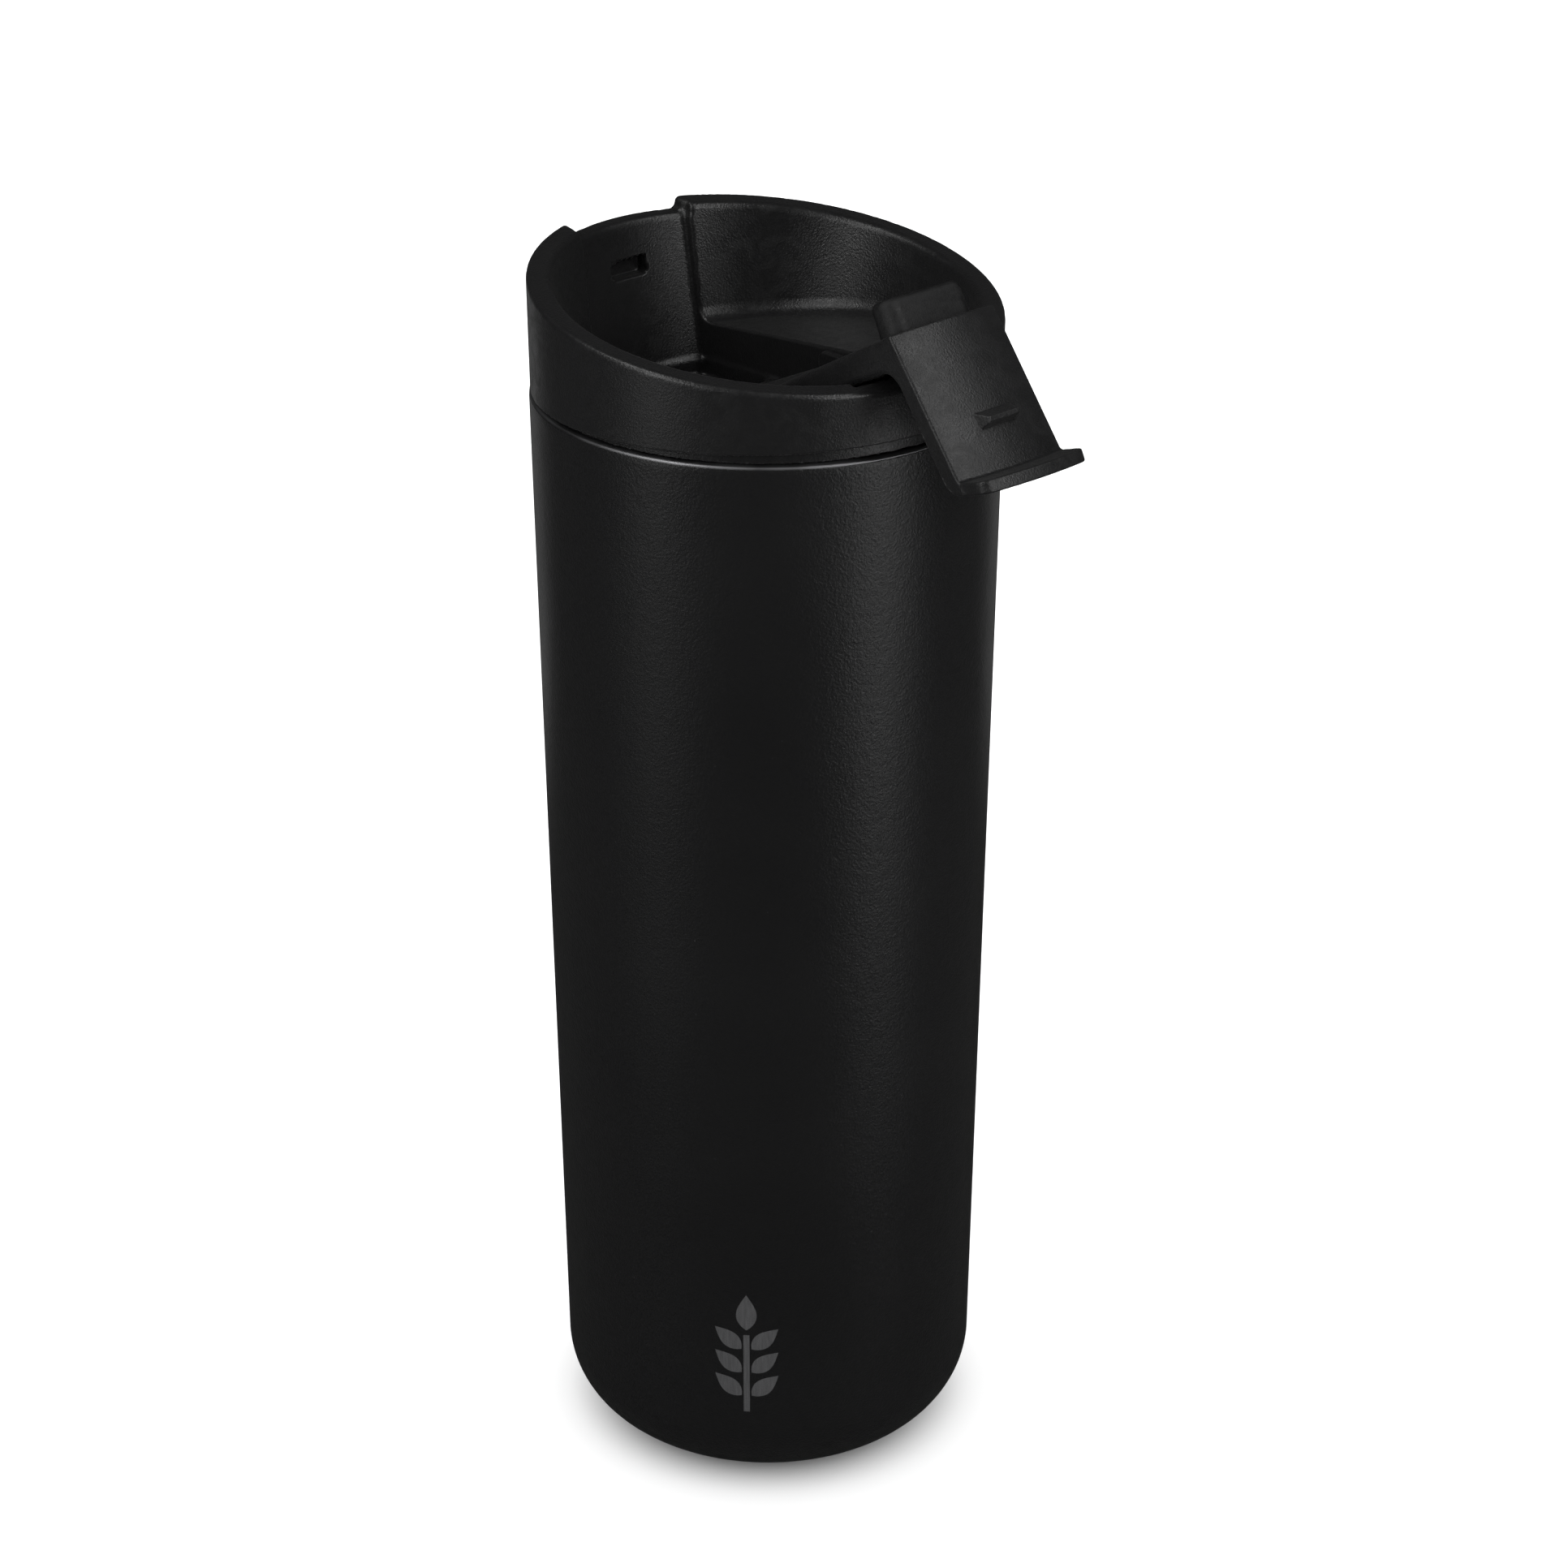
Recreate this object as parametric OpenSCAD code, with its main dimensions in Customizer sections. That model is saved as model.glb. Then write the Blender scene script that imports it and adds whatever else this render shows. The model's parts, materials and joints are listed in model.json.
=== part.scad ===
// Insulated travel mug: a double-walled steel vessel with a screw-in flip lid.
// Origin: centre of the face the mug stands on. +Z up. +X: the low side of the slanted lid,
// the side the flip cap swings over to. The cap's hinge axis runs along Y.
// The lid is drawn screwed down and the flip cap swung open.

/* [Vessel] */
// Height of the bare steel rim above the table
rim_z = 184.8; // [176:0.2:196]
// Outside radius of the vessel at the rim
rim_r = 37; // [37:0.1:38]
// How much narrower in radius the vessel is at the table than at the rim
taper = 2.6; // [1.5:0.1:3]
// Radius of the bottom corner
corner_r = 13.3; // [11:0.1:14]
// Wall of the coated outer shell
shell_t = 0.6; // [0.5:0.05:0.8]
// Wall of the inner liner
liner_t = 0.5; // [0.4:0.05:0.6]

/* [Lid] */
// Height of the lid's top edge above the steel rim, on the mug's axis
lid_h = 15.4; // [15:0.1:16]
// Fall of the lid's top edge towards the low side, per millimetre
rim_fall = 0.137; // [0.12:0.001:0.15]
// Half width of the channel the cap's arm lies in
channel_half = 11.1; // [10.9:0.05:11.3]
// Travel of the lid for one turn of its thread
thread_lead = 8; // [7.5:0.1:8.5]

/* [Flip cap] */
// Angle between the closed and the open cap
cap_swing = 153.2; // [145:0.1:153.2]
// Slope of the cap's arm when it is closed
arm_slope = 3; // [2.6:0.1:3.2]
// Thickness of the cap's arm
arm_t = 4.7; // [4.4:0.1:4.8]
// Thickness of the cap's strap
strap_t = 2.8; // [2.4:0.1:3]
// Radius of the hinge pin
pin_r = 1; // [0.9:0.05:1.1]

/* [Hidden] */
$fn = 96;
big = 120;            // larger than the mug's width, for cutting slabs
black = "#1b1b1c";
steel = "#b9bbbd";
rubber = "#2a2a2b";

// vessel
wall_slope = taper / rim_z;
lip_h = 0.8;          // welded bare steel lip on top of the coated shell
lip_r = rim_r - 0.1;
foot_r = 17.4;        // inside of the foot ring
foot_up = 2.8;        // height of the foot's turned-up inner edge
base_t = 0.6;         // bottom closing disc
wall_gap = 5;         // from the outside of the shell to the inside of the liner
liner_floor = 6.6;
liner_corner_r = 12;
ledge_z = rim_z - 14.8;
ledge_r = rim_r - 5.25;
neck_r = rim_r - 3;
seal_hole_r = 0.8;
seal_dish_r = 3;
getter_at = [9.5, 0, foot_up];
getter_r = 3;
getter_h = 1.1;

// lid, heights above the table
seat_z = rim_z + 0.25;          // underside of the lid over the rim
band_r = rim_r - 1;             // recessed band behind the lid's lower edge
lid_r_low = rim_r - 0.2;
lid_r_high = rim_r;
edge_z = rim_z + 0.85;          // slanted lower edge of the lid wall, on the axis
edge_rise = 0.035;
skirt_r = neck_r - 1.2;
skirt_in_r = rim_r - 6.4;
skirt_z = rim_z - 10.8;
wall_foot_z = rim_z - 5.2;      // where the channel's end wall meets its floor
wall_foot_r = rim_r - 6.7;
wall_lean = 0.237;              // growth of the channel's end wall radius per millimetre of height
bend_z = rim_z + 10.5;          // the end wall is steeper above this height
bend_r = wall_foot_r + wall_lean * (bend_z - wall_foot_z);
top_lean = 0.09;
bowl_r = rim_r - 3.8;           // inside of the rim
bowl_lean = 0.25;               // narrowing of the bowl per millimetre of depth under the rim
shelf_z = rim_z + 3.65;         // shelf floor on the axis
shelf_rise = 0.11;
shelf_t = 2;
side_t = 2;                     // channel side walls
hollow_z = rim_z - 7.4;         // underside of the channel floor
notch_half = channel_half;
notch_drop = 2;
slot_half = 3.65;
slot_low = rim_z + 9.3;
slot_high = rim_z + 12.2;
slot_deep_r = rim_r - 1.2;

// hinge and channel floor
hinge_x = 8.5;
hinge_z = rim_z - 0.5;
knuckle_r = 4.2;
arm_low = 2.9;                  // arm underside below the hinge axis
running = 0.05;                 // radial play of the cap on its pin
floor_gap = 0.3;
floor_x = -28;
floor_z = rim_z - 5.6;
floor_rise = tan(arm_slope);
well_z = rim_z - 8.2;           // floor of the well around the drinking hole
well_r = wall_foot_r - 0.6;
well_in = -11;
well_half = channel_half - 0.3;
well_corner_r = 2;
pan_z = well_z - 1.2;           // underside of the well
pan_side_t = 1.2;
boss_in = 0.8;
boss_low_x = -8;
boss_high_x = 5.4;
boss_low_z = -3.4;
boss_top_z = 3.7;
neck_reach = 9.6;               // the arm is narrower within this distance of the hinge
arm_half = channel_half - 0.4;
knuckle_half = channel_half - boss_in - 0.3;
ramp_angle = cap_swing - arm_slope; // the open arm's slope, measured past upright

// drink opening and plug
hole_out = -28.3;
hole_in = -20.2;
hole_half = 8.85;
hole_corner_r = 2.4;
plug_out = -27.2;
plug_in = -21.2;
plug_half = 8.4;
plug_h = 5.4;
plug_corner_r = 2.4;
plug_step_half = 1.6;
plug_step_h = 1.1;
key_half = 5;
key_x = (plug_out + plug_in) / 2;
key_t = 2.4;
key_h = 2.2;
tunnel_out = -28.6;
tunnel_in = -19.8;
tunnel_half = 9.1;
tunnel_corner_r = 2.5;
tunnel_t = 1.2;

// strap and lip of the cap
face_r = rim_r - 7.2;           // outer face of the closed strap at the foot of the end wall
face_lean = 0.196;
lip_gap = 0.25;
lip_t = 2;
lip_half = arm_half - 0.05;
lip_reach_r = rim_r + 2.2;
latch_z = rim_z + 10.6;
latch_h = 2.4;
latch_tip_h = 0.8;
latch_half = 3.4;
latch_tip_half = 2.8;
latch_out = 1.6;

// lid base and gasket
plate_low = ledge_z + 1.6;
plate_t = 2;
plate_r = skirt_r - 0.1;
hub_r = ledge_r - 0.85;
hold_r = ledge_r - 0.35;
hold_low = ledge_z - 0.6;
gasket_gap = 0.03;

// threads: two starts, three quarters of a turn each
thread_sweep = 270;
thread_steps = 36;
thread_z = skirt_z + 0.9;
thread_base = 1.6;
thread_crest = 0.8;
male_r = skirt_r + 0.8;
female_r = neck_r - 0.9;
thread_offset = 1.3;
gasket_out = female_r - 0.1;

// points of an arc about [cx, cz], from angle a to angle b
function arc(cx, cz, r, a, b, n = 10) =
    [for (i = [0 : n]) [cx + r * cos(a + (b - a) * i / n), cz + r * sin(a + (b - a) * i / n)]];

// outside radius of the vessel at height z
function vessel_r(z) = rim_r - taper + wall_slope * z;

// everything below the plane that passes through height z on the axis and rises by slope along +X
module below(z, slope = 0) {
    translate([0, 0, z]) rotate([0, -atan(slope), 0]) translate([-big, -big, -2 * big])
        cube([2 * big, 2 * big, 2 * big]);
}

// everything above that plane
module above(z, slope = 0) {
    translate([0, 0, z]) rotate([0, -atan(slope), 0]) translate([-big, -big, 0])
        cube([2 * big, 2 * big, 2 * big]);
}

// box between two corners
module span(a, b) {
    translate(a) cube(b - a);
}

// upright block with rounded corners, from corner a to corner b
module rounded_span(a, b, r) {
    span([a.x + r, a.y, a.z], [b.x - r, b.y, b.z]);
    span([a.x, a.y + r, a.z], [b.x, b.y - r, b.z]);
    for (x = [a.x + r, b.x - r], y = [a.y + r, b.y - r])
        translate([x, y, a.z]) cylinder(r = r, h = b.z - a.z);
}

// cone whose radius is r at height z and grows by lean per millimetre, from z_low to z_high
module lean_cone(r, z, lean, z_low, z_high) {
    translate([0, 0, z_low])
        cylinder(r1 = r + lean * (z_low - z), r2 = r + lean * (z_high - z), h = z_high - z_low);
}

// helical ridge from radius root to radius crest, shrinking away at both ends
module thread_ridge(root, crest, z0, start) {
    function run_out(i) = min(1, min(i, thread_steps - i) / 4 + 0.05);
    function section(i) = let (
        a = start + thread_sweep * i / thread_steps,
        z = z0 + thread_lead * thread_sweep / 360 * i / thread_steps,
        tip = root + (crest - root) * run_out(i))
        [for (p = [[root, -thread_base / 2], [tip, -thread_crest / 2],
                   [tip, thread_crest / 2], [root, thread_base / 2]])
            [p.x * cos(a), p.x * sin(a), z + p.y]];
    outward = crest > root;
    points = [for (i = [0 : thread_steps]) each section(i)];
    quads = [for (i = [0 : thread_steps - 1], k = [0 : 3])
        let (a = 4 * i + k, b = 4 * i + (k + 1) % 4) [a, b, b + 4, a + 4]];
    ends = [[3, 2, 1, 0], [for (k = [0 : 3]) 4 * thread_steps + k]];
    faces = concat(quads, ends);
    polyhedron(points, outward ? faces : [for (f = faces) [for (k = [len(f) - 1 : -1 : 0]) f[k]]]);
}

// both starts of a thread
module thread_pair(root, crest, z0) {
    for (start = [0, 180]) thread_ridge(root, crest, z0, start);
}

module outer_shell() {
    top = rim_z - lip_h;
    cx = vessel_r(corner_r) - corner_r;
    color(black) rotate_extrude() polygon(concat(
        [[foot_r, foot_up], [foot_r, 0]],
        arc(cx, corner_r, corner_r, -90, 0),
        [[vessel_r(top), top], [vessel_r(top) - shell_t, top]],
        arc(cx, corner_r, corner_r - shell_t, 0, -90),
        [[foot_r + shell_t, shell_t], [foot_r + shell_t, foot_up]]));
}

// inside profile of the liner from the axis to the rim, moved outwards by t
function liner_side(t) = let (cz = liner_floor + liner_corner_r, cx = vessel_r(cz) - wall_gap - liner_corner_r)
    concat([[0, liner_floor - t]],
        arc(cx, cz, liner_corner_r + t, -90, 0),
        [[ledge_r + t, ledge_z - 1.4], [ledge_r + t * 0.4 + 0.35, ledge_z - t],
         [neck_r + t, ledge_z - t]]);

module inner_liner() {
    lip_low = rim_z - lip_h;
    round_r = 0.35;
    color(steel) {
        rotate_extrude() polygon(concat(
            liner_side(0),
            [[neck_r, rim_z - 1.1]],
            arc(neck_r + 1.1, rim_z - 1.1, 1.1, 180, 90, 5),
            arc(lip_r - round_r, rim_z - round_r, round_r, 90, 0, 4),
            [[lip_r, lip_low], [neck_r + liner_t, lip_low]],
            [for (i = [len(liner_side(0)) - 1 : -1 : 0]) liner_side(liner_t)[i]]));
        thread_pair(neck_r + 0.2, female_r, thread_z + thread_offset);
    }
}

module vacuum_base() {
    low = foot_up - base_t;
    color(steel) rotate_extrude() polygon([
        [seal_hole_r, foot_up], [foot_r, foot_up], [foot_r, low], [seal_dish_r + 1, low],
        [seal_dish_r, low + 0.35], [seal_hole_r, low + 0.35]]);
}

module vacuum_seal() {
    low = foot_up - base_t;
    color("#7d8f86") rotate_extrude() polygon([
        [0, low - 0.1], [seal_dish_r - 0.6, low], [seal_dish_r - 0.1, low + 0.33],
        [seal_hole_r - 0.02, low + 0.35], [seal_hole_r - 0.02, foot_up], [0, foot_up]]);
}

module getter() {
    color("#55565a") translate(getter_at) cylinder(r = getter_r, h = getter_h);
}

module getter_clip() {
    t = 0.25;
    reach = getter_r + 0.2;
    color(steel) translate(getter_at) rotate([90, 0, 0]) translate([0, 0, -1])
        linear_extrude(2) polygon([
            [-reach - 2, 0], [-reach, 0], [-reach, getter_h + 0.05], [reach, getter_h + 0.05],
            [reach, 0], [reach + 2, 0], [reach + 2, t], [reach + t, t],
            [reach + t, getter_h + 0.05 + t], [-reach - t, getter_h + 0.05 + t], [-reach - t, t],
            [-reach - 2, t]]);
}

module base_pad() {
    color(rubber) difference() {
        cylinder(r = foot_r - 0.1, h = 1.6);
        for (r = [6, 11]) rotate_extrude() translate([r, 0]) circle(r = 0.5, $fn = 24);
    }
}

module lid_gasket() {
    low = ledge_z + gasket_gap;
    high = plate_low - gasket_gap;
    in = hub_r + 0.05;
    color(rubber) rotate_extrude() polygon([
        [in, low], [ledge_r + 0.5, low], [ledge_r + 0.75, low + 0.3], [gasket_out - 0.6, low + 0.3],
        [gasket_out - 0.35, low], [gasket_out, low + 0.15], [gasket_out - 0.25, low + 0.8],
        [gasket_out, high - 0.15], [gasket_out - 0.35, high], [in, high]]);
}

// the lid's outside: wall, recessed band over the rim, and the threaded skirt
module lid_outside() {
    intersection() {
        lean_cone(lid_r_low, rim_z, (lid_r_high - lid_r_low) / 20, rim_z - 1, rim_z + 22);
        below(rim_z + lid_h, -rim_fall);
        above(edge_z, edge_rise);
        above(seat_z);
    }
    translate([0, 0, seat_z]) cylinder(r = band_r, h = shelf_z - seat_z);
    translate([0, 0, skirt_z]) cylinder(r = skirt_r, h = shelf_z - skirt_z);
    thread_pair(skirt_r - 0.2, male_r, thread_z);
}

// cone that narrows downwards from the slanted rim, square to it
module bowl_cone() {
    depth = 28;
    rise = 10;
    translate([0, 0, rim_z + lid_h]) rotate([0, atan(rim_fall), 0]) translate([0, 0, -depth])
        cylinder(r1 = bowl_r - bowl_lean * depth, r2 = bowl_r + bowl_lean * rise, h = depth + rise);
}

// drinking bowl above the sloping shelf
module bowl() {
    intersection() {
        bowl_cone();
        above(shelf_z, shelf_rise);
    }
}

// space inside the channel's end wall
module end_wall() {
    lean_cone(wall_foot_r, wall_foot_z, wall_lean, rim_z - 9, bend_z);
    lean_cone(bend_r, bend_z, top_lean, bend_z, rim_z + 24);
}

// everything above the ramp that the open arm lies on, moved down by gap
module above_ramp(gap) {
    translate([hinge_x, 0, hinge_z]) rotate([0, ramp_angle, 0])
        translate([-big, -big, -big]) cube([2 * big, 2 * big, big + arm_t - arm_low + gap]);
}

// everything below that ramp
module below_ramp(gap) {
    translate([hinge_x, 0, hinge_z]) rotate([0, ramp_angle, 0])
        translate([-big, -big, arm_t - arm_low + gap]) cube([2 * big, 2 * big, big]);
}

// groove for the cap's arm: level with the closed arm on the high side, ramped on the low side
module channel() {
    intersection() {
        end_wall();
        span([-big, -channel_half, rim_z - 9], [hinge_x, channel_half, rim_z + 24]);
        above(floor_z - floor_rise * floor_x, floor_rise);
    }
    intersection() {
        span([hinge_x - 0.01, -channel_half, rim_z - 9], [big, channel_half, rim_z + 24]);
        above_ramp(floor_gap);
        above(hinge_z - knuckle_r);
    }
    translate([hinge_x, channel_half, hinge_z]) rotate([90, 0, 0])
        cylinder(r = knuckle_r + floor_gap, h = 2 * channel_half);
}

// well in the channel's floor, from the end wall inwards
module floor_well() {
    intersection() {
        translate([0, 0, well_z]) cylinder(r = well_r, h = rim_z - 2 - well_z);
        rounded_span([-big, -well_half, well_z], [well_in, well_half, rim_z - 2], well_corner_r);
    }
}

// raised pads on both channel walls that carry the hinge pin
module pin_bosses() {
    for (side = [-1, 1])
        translate([hinge_x, side * (channel_half - boss_in / 2 + 0.1), hinge_z]) rotate([90, 0, 0])
            translate([0, 0, -boss_in / 2 - 0.1]) rounded_span([boss_low_x, boss_low_z, 0],
                [boss_high_x, boss_top_z, boss_in + 0.2], 1.4);
}

module hinge_bore(r) {
    translate([hinge_x, big / 4, hinge_z]) rotate([90, 0, 0]) cylinder(r = r, h = big / 2);
}

// air space under the shelf, the channel and its well
module lid_hollow() {
    outer_half = channel_half + side_t;
    pan_half = well_half + pan_side_t;
    difference() {
        air_space(outer_half);
        span([-big, -pan_half, pan_z], [well_in + pan_side_t, pan_half, hollow_z + 1]);
    }
}

// air space beside and under a channel of outside half width outer_half
module air_space(outer_half) {
    intersection() {
        translate([0, 0, skirt_z - 1]) cylinder(r = skirt_in_r, h = 20);
        below(shelf_z - shelf_t, shelf_rise);
        union() {
            span([-big, outer_half, 0], [big, big, 2 * big]);
            span([-big, -big, 0], [big, -outer_half, 2 * big]);
            below(hollow_z);
            intersection() {
                span([hinge_x + knuckle_r + side_t, -big, 0], [big, big, 2 * big]);
                below_ramp(floor_gap + side_t);
            }
        }
    }
}

module drink_hole(low, high) {
    rounded_span([hole_out, -hole_half, low], [hole_in, hole_half, high], hole_corner_r);
}

module lid_shell() {
    color(black) difference() {
        union() {
            difference() {
                lid_outside();
                bowl();
                channel();
                floor_well();
            }
            pin_bosses();
        }
        lid_hollow();
        hinge_bore(pin_r + 0.01);
        drink_hole(pan_z - 1, rim_z - 2);
        intersection() {
            span([-big, -notch_half, rim_z], [-20, notch_half, rim_z + 40]);
            above(rim_z + lid_h - notch_drop, -rim_fall);
        }
        span([-slot_deep_r, -slot_half, slot_low], [-20, slot_half, slot_high]);
    }
}

// solid block around the drink tunnel
module tunnel_block(low, high) {
    span([tunnel_out - tunnel_t, -tunnel_half - tunnel_t, low],
         [tunnel_in + tunnel_t, tunnel_half + tunnel_t, high]);
}

module lid_base() {
    top = pan_z - 0.05;
    color(black) difference() {
        union() {
            translate([0, 0, plate_low]) cylinder(r = plate_r, h = plate_t);
            translate([0, 0, plate_low]) cylinder(r = skirt_in_r - 0.1, h = plate_t + 1.6);
            translate([0, 0, hold_low]) cylinder(r = hub_r, h = plate_low - hold_low + 0.1);
            translate([0, 0, hold_low]) cylinder(r = hold_r, h = 0.6 - gasket_gap);
            intersection() {
                tunnel_block(plate_low, top);
                translate([0, 0, plate_low]) cylinder(r = skirt_in_r - 0.1, h = top - plate_low);
            }
        }
        rounded_span([tunnel_out, -tunnel_half, hold_low - 1], [tunnel_in, tunnel_half, top + 1],
            tunnel_corner_r);
        difference() {
            translate([0, 0, plate_low + plate_t]) cylinder(r = skirt_in_r - 1.6, h = 10);
            tunnel_block(0, 2 * big);
        }
    }
}

module hinge_pin() {
    half = channel_half + side_t;
    color(steel) translate([hinge_x, half, hinge_z]) rotate([90, 0, 0]) cylinder(r = pin_r, h = 2 * half);
}

// swings its children from the closed to the open position
module opened() {
    translate([hinge_x, 0, hinge_z]) rotate([0, cap_swing, 0]) translate([-hinge_x, 0, -hinge_z])
        children();
}

// frame of the closed arm: hinge at the origin, arm along -X
module arm_frame() {
    translate([hinge_x, 0, hinge_z]) rotate([0, -arm_slope, 0]) children();
}

// space behind the closed strap's outer face, moved inwards by t
module behind_face(t) {
    lean_cone(face_r - t, wall_foot_z, face_lean, rim_z - 12, rim_z + 26);
}

module cap_arm() {
    intersection() {
        arm_frame() span([-60, -arm_half, -arm_low], [-neck_reach, arm_half, arm_t - arm_low]);
        behind_face(0);
    }
    arm_frame() {
        span([-neck_reach - 1, -knuckle_half, -arm_low], [0, knuckle_half, arm_t - arm_low]);
        translate([0, knuckle_half, 0]) rotate([90, 0, 0]) cylinder(r = knuckle_r, h = 2 * knuckle_half);
    }
}

module cap_strap() {
    difference() {
        intersection() {
            arm_frame() span([-60, -arm_half, -arm_low], [-20, arm_half, 60]);
            behind_face(0);
            below(rim_z + lid_h - notch_drop + lip_gap + lip_t, -rim_fall);
        }
        behind_face(strap_t);
    }
}

module cap_lip() {
    difference() {
        intersection() {
            span([-big, -lip_half, rim_z], [-20, lip_half, rim_z + 40]);
            cylinder(r = lip_reach_r, h = 2 * big);
            above(rim_z + lid_h - notch_drop + lip_gap, -rim_fall);
            below(rim_z + lid_h - notch_drop + lip_gap + lip_t, -rim_fall);
        }
        behind_face(strap_t);
    }
}

// wedge on the strap that snaps into the slot of the channel's end wall
module cap_latch() {
    face = face_r + face_lean * (latch_z - wall_foot_z);
    root = face - 1.5;
    tip = face + latch_out;
    intersection() {
        translate([0, latch_half, latch_z]) rotate([90, 0, 0]) linear_extrude(2 * latch_half) polygon([
            [-root, -latch_h / 2], [-face, -latch_h / 2], [-tip, -latch_tip_h / 2],
            [-tip, latch_tip_h / 2], [-face, latch_h / 2], [-root, latch_h / 2]]);
        translate([0, 0, latch_z - latch_h]) linear_extrude(2 * latch_h) polygon([
            [-root, -latch_half], [-face, -latch_half], [-tip, -latch_tip_half],
            [-tip, latch_tip_half], [-face, latch_half], [-root, latch_half]]);
    }
}

module plug_key(gap) {
    arm_frame() translate([key_x - hinge_x, 0, 0])
        span([-key_t / 2 - gap, -key_half - gap, -arm_low - 0.2], [key_t / 2 + gap, key_half + gap, key_h - arm_low]);
}

module flip_cap() {
    color(black) opened() difference() {
        union() {
            cap_arm();
            cap_strap();
            cap_lip();
            cap_latch();
        }
        hinge_bore(pin_r + running);
        plug_key(0.02);
    }
}

module drink_plug() {
    color(rubber) opened() {
        arm_frame() difference() {
            rounded_span([plug_out - hinge_x, -plug_half, -arm_low - plug_h],
                         [plug_in - hinge_x, plug_half, -arm_low - 0.01], plug_corner_r);
            span([-60, plug_half - plug_step_half, -30], [0, 20, -arm_low - plug_h + plug_step_h]);
        }
        plug_key(0);
    }
}

outer_shell();
inner_liner();
vacuum_base();
vacuum_seal();
getter();
getter_clip();
base_pad();
lid_gasket();
lid_shell();
lid_base();
hinge_pin();
flip_cap();
drink_plug();
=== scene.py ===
"""Looks of the insulated travel mug: a powder-coated steel vessel under a slanted flip lid.

Lengths are millimetres until a mesh is made. The lid, the cap and the plug are rounded solids,
described by signed distance fields (negative inside) and turned into smooth meshes. The coated
shell is turned like a pot, and its mark is laid around it.
"""
import json
import math

import bpy
import numpy as np
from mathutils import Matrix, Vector


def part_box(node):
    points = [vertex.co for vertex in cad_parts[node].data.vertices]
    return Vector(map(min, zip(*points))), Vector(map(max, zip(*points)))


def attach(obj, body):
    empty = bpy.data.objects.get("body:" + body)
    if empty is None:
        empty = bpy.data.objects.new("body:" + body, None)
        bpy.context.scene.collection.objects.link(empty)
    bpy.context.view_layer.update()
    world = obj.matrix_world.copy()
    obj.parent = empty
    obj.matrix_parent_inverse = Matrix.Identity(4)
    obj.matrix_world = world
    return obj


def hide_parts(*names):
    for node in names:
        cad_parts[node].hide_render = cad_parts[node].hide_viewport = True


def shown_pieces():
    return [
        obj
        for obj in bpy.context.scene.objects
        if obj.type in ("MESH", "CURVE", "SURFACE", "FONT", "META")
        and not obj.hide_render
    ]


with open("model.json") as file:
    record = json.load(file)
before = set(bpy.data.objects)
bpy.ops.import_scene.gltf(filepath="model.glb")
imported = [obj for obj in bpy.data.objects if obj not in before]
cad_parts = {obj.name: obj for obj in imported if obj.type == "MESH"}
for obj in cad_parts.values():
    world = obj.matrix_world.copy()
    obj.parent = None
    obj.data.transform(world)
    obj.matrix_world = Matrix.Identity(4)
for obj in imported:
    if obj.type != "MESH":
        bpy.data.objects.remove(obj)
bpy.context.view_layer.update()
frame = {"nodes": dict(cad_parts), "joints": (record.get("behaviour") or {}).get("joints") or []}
MM = 0.001


def box_mm(node):
    """Lowest and highest corner of a CAD node, in millimetres."""
    low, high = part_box(node)
    return np.array(low) / MM, np.array(high) / MM


def joint(name):
    return next(j for j in frame["joints"] if j["name"] == name)


# ---------------------------------------------------------------- sizes, from the frame
RIM_Z = box_mm("inner_liner")[1][2]
LIP_R = box_mm("inner_liner")[1][0]
RIM_R = LIP_R + 0.1
SHELL_TOP = box_mm("outer_shell")[1][2]
HINGE_X, HINGE_Z = (joint("cap_hinge")["pos_m"][i] / MM for i in (0, 2))
SWING = math.radians(joint("cap_hinge")["range_deg"][1])
PIN_HALF = box_mm("hinge_pin")[1][1]

# vessel
TAPER = 2.6
CORNER_R = 13.3
SHELL_T = 0.6
COAT_TOP = RIM_Z - 0.36
FOOT_R = 17.4
FOOT_UP = 2.8

# lid wall and rim
LID_H = 15.4
RIM_FALL = 0.137
RIM_ROUND = 0.8
RIM_INNER_ROUND = 0.95
LID_R_LOW, LID_R_HIGH = RIM_R - 0.2, RIM_R
EDGE_Z, EDGE_RISE = RIM_Z + 0.85, 0.035
SEAT_Z = RIM_Z + 0.25
BAND_R = RIM_R - 1
SKIRT_R, SKIRT_IN_R, SKIRT_Z = RIM_R - 4.2, RIM_R - 6.4, RIM_Z - 10.8
THREAD_Z, THREAD_LEAD, THREAD_SWEEP, THREAD_H = SKIRT_Z + 0.9, 8, 270, 0.8
NOTCH_DROP, NOTCH_ROUND = 2, 1
HIGH_SIDE = -BAND_R / 2

# bowl, shelf and the channel of the arm
BOWL_R, BOWL_LEAN = RIM_R - 3.8, 0.25
SHELF_Z, SHELF_RISE, SHELF_T, SHELF_FILLET = RIM_Z + 3.65, 0.11, 2, 2.4
CHANNEL_HALF = NOTCH_HALF = PIN_HALF - 2
SIDE_T = 2
FOOT_WALL_Z, FOOT_WALL_R, WALL_LEAN = RIM_Z - 5.2, RIM_R - 6.7, 0.237
BEND_Z, TOP_LEAN = RIM_Z + 10.5, 0.09
BEND_R = FOOT_WALL_R + WALL_LEAN * (BEND_Z - FOOT_WALL_Z)
HOLLOW_Z = RIM_Z - 7.4
FLOOR_X, FLOOR_Z, FLOOR_GAP = -28, RIM_Z - 5.6, 0.3
SLOT_HALF, SLOT_LOW, SLOT_HIGH, SLOT_DEEP = 3.65, RIM_Z + 9.3, RIM_Z + 12.2, RIM_R - 1.9
HOLE_OUT, HOLE_IN, HOLE_HALF, HOLE_R = -28.3, -20.2, 8.85, 2.4
WELL_Z, WELL_R, WELL_IN, WELL_HALF = RIM_Z - 8.2, FOOT_WALL_R - 0.6, -11, CHANNEL_HALF - 0.3
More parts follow.
